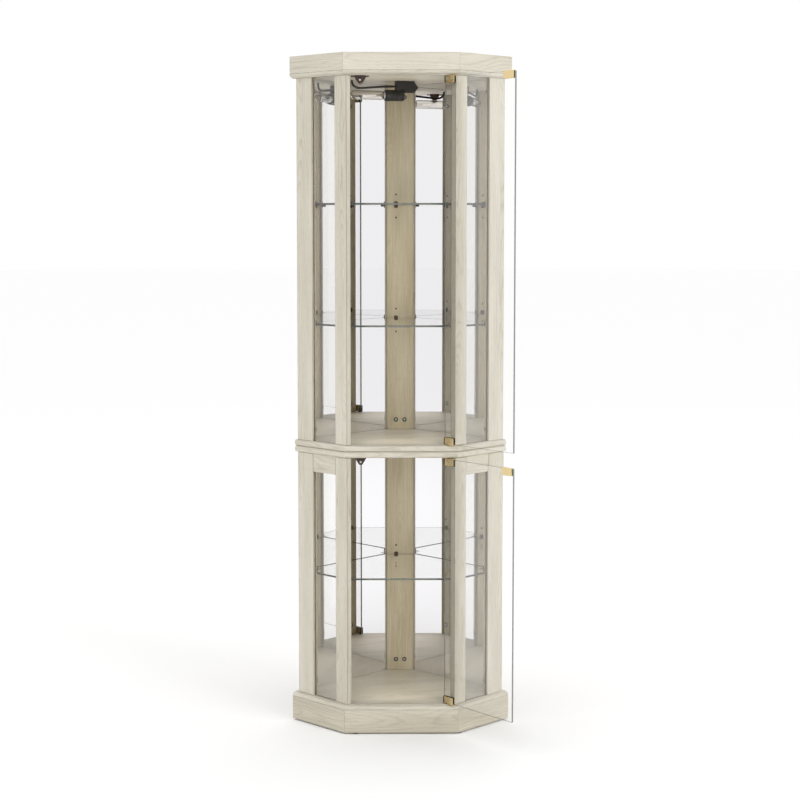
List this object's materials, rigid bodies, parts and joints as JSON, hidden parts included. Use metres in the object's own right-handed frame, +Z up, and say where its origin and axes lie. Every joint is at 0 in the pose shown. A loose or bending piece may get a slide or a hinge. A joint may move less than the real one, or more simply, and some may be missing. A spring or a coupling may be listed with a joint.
{
  "type": "curio cabinet",
  "caption": "Lighted corner curio cabinet in pale oak: a lower and an upper glazed case with mirrored backs, glass shelves and frameless pivot doors, standing open.",
  "frame": {"origin": "on the floor, under the middle of the bounding box with both doors open as stored", "axes": "+Z up, the front faces -Y, +X to the right of someone facing the front"},
  "size_m": [0.586, 0.578, 1.778],
  "materials": {
    "oak": "pale bleached oak, open grain, satin lacquer",
    "clear_glass": "clear float glass with polished edges",
    "mirror": "silvered glass on a brown hardboard back",
    "brass": "polished, lacquered",
    "brown_plastic": "moulded, satin",
    "black_plastic": "moulded, satin",
    "glide_plastic": "moulded, matt",
    "lamp_glass": "clear tubular bulb",
    "steel": "plated"
  },
  "bodies": {
    "root": {"plinth_front": "oak", "plinth_right": "oak", "plinth_left": "oak", "plinth_back_left": "oak", "plinth_back_right": "oak", "glide_front_left": "glide_plastic", "glide_front_right": "glide_plastic", "glide_side_left": "glide_plastic", "glide_side_right": "glide_plastic", "glide_rear": "glide_plastic", "base_board": "oak", "lower_front_post_left": "oak", "lower_side_post_left": "oak", "lower_side_pane_left": "clear_glass", "lower_mirror_left": "mirror", "lower_front_post_right": "oak", "lower_side_post_right": "oak", "lower_side_pane_right": "clear_glass", "lower_mirror_right": "mirror", "lower_rear_post": "oak", "lower_shelf": "clear_glass", "lower_side_rail_left": "oak", "lower_side_rail_right": "oak", "lower_latch_housing": "brown_plastic", "waist_lower_board": "oak", "waist_upper_board": "oak", "upper_front_post_left": "oak", "upper_side_post_left": "oak", "upper_side_pane_left": "clear_glass", "upper_mirror_left": "mirror", "upper_front_post_right": "oak", "upper_side_post_right": "oak", "upper_side_pane_right": "clear_glass", "upper_mirror_right": "mirror", "upper_rear_post": "oak", "upper_middle_shelf": "clear_glass", "upper_top_shelf": "clear_glass", "upper_latch_housing": "brown_plastic", "lamp_bulb": "lamp_glass", "lamp_socket": "black_plastic", "lamp_bracket": "black_plastic", "lamp_lead": "black_plastic", "crown_front": "oak", "crown_right": "oak", "crown_left": "oak", "crown_back_left": "oak", "crown_back_right": "oak", "ceiling_board": "oak", "top_board": "oak"},
    "lower_door": {"lower_door_glass": "clear_glass", "lower_door_top_clamp": "brass", "lower_door_bottom_clamp": "brass", "lower_door_strike": "brass"},
    "upper_door": {"upper_door_glass": "clear_glass", "upper_door_top_clamp": "brass", "upper_door_bottom_clamp": "brass", "upper_door_strike": "brass"},
    "lower_latch": {"lower_latch_plunger": "steel"},
    "upper_latch": {"upper_latch_plunger": "steel"}
  },
  "joints": [
    {"name": "lower_door_hinge", "type": "hinge", "parent": "root", "child": "lower_door", "pos_m": [0.1205, -0.09667, 0.4045], "axis": [0, 0, 1], "range_deg": [-130, 5]},
    {"name": "upper_door_hinge", "type": "hinge", "parent": "root", "child": "upper_door", "pos_m": [0.1205, -0.09667, 1.243], "axis": [0, 0, 1], "range_deg": [-130, 5]},
    {"name": "lower_latch_push", "type": "slide", "parent": "root", "child": "lower_latch", "axis": [0, -1, 0], "range_m": [-0.0015, 0.0003], "stiffness_N_per_m": 300},
    {"name": "upper_latch_push", "type": "slide", "parent": "root", "child": "upper_latch", "axis": [0, -1, 0], "range_m": [-0.0015, 0.0003], "stiffness_N_per_m": 300}
  ]
}
